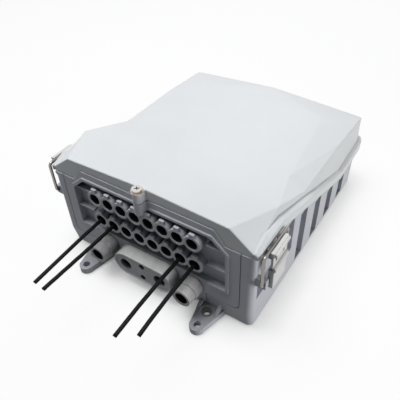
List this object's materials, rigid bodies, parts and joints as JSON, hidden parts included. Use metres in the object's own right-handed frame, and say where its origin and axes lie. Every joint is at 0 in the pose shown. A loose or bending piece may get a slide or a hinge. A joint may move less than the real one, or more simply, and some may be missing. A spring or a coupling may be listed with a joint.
{
  "type": "fiber termination box",
  "caption": "Wall-mounted fibre termination box with a hinged faceted lid, wire-bail side latches, a ported cable panel, sealed feeder entries, a splice tray and adapters.",
  "frame": {"origin": "middle of the wall face, between the four fixing ears", "axes": "+Z out of the wall towards the lid, -Y towards the ported end, +X to the right seen from the ported end"},
  "size_m": [0.3176, 0.4897, 0.1621],
  "materials": {
    "case_grey": "fine moulded texture",
    "lid_grey": "smooth satin moulding",
    "black_rubber": "matt",
    "grey_rubber": "satin",
    "bright_steel": "polished wire and screws",
    "zinc_sheet": "zinc plated",
    "brass_insert": "machined",
    "tray_white": "smooth",
    "tray_clear": "smoky clear",
    "sleeve_clear": "clear tube",
    "module_dark": "fine texture",
    "adapter_green": "smooth",
    "connector_blue": "smooth",
    "cable_black": "smooth jacket"
  },
  "bodies": {
    "base": {"base_shell": "case_grey", "port_panel": "case_grey", "entry_sleeve_left": "case_grey", "entry_sleeve_right": "case_grey", "oval_entry": "case_grey", "cable_clamps": "case_grey", "splice_combs": "case_grey", "panel_gasket": "black_rubber", "port_plugs": "black_rubber", "cable_seals": "black_rubber", "entry_plugs": "black_rubber", "lid_gasket": "black_rubber", "oval_seal": "grey_rubber", "ear_bushes": "bright_steel", "hinge_pins": "bright_steel", "panel_screws": "bright_steel", "plate_screws": "bright_steel", "tray_screws": "bright_steel", "bracket_screws": "bright_steel", "clamp_screws": "bright_steel", "mount_plate": "zinc_sheet", "adapter_bracket": "zinc_sheet", "screw_insert": "brass_insert", "splice_tray": "tray_white", "tray_cover": "tray_clear", "splice_sleeves": "sleeve_clear", "splitter_module": "module_dark", "adapters": "adapter_green", "drop_connectors": "connector_blue", "drop_cable_1": "cable_black", "drop_cable_2": "cable_black", "drop_cable_3": "cable_black", "drop_cable_4": "cable_black"},
    "lid": {"lid_shell": "lid_grey", "screw_washer": "bright_steel"},
    "screw": {"lid_screw": "bright_steel"},
    "bail_left": {"bail_left": "bright_steel"},
    "bail_right": {"bail_right": "bright_steel"},
    "lever_left": {"lever_left": "case_grey"},
    "lever_right": {"lever_right": "case_grey"}
  },
  "joints": [
    {"name": "lid_hinge", "type": "hinge", "parent": "base", "child": "lid", "pos_m": [0, 0.177, 0.052], "axis": [-1, 0, 0], "range_deg": [0, 110]},
    {"name": "lid_screw_slide", "type": "slide", "parent": "lid", "child": "screw", "axis": [0, 0, 1], "range_m": [0, 0.014]},
    {"name": "bail_left_hinge", "type": "hinge", "parent": "base", "child": "bail_left", "pos_m": [-0.1515, -0.135, 0.086], "axis": [0, -1, 0], "range_deg": [0, 90]},
    {"name": "bail_right_hinge", "type": "hinge", "parent": "base", "child": "bail_right", "pos_m": [0.1515, -0.135, 0.086], "axis": [0, 1, 0], "range_deg": [0, 90]},
    {"name": "lever_left_hinge", "type": "hinge", "parent": "bail_left", "child": "lever_left", "pos_m": [-0.1515, -0.135, 0.13], "axis": [0, 1, 0], "range_deg": [0, 105]},
    {"name": "lever_right_hinge", "type": "hinge", "parent": "bail_right", "child": "lever_right", "pos_m": [0.1515, -0.135, 0.13], "axis": [0, -1, 0], "range_deg": [0, 105]}
  ]
}
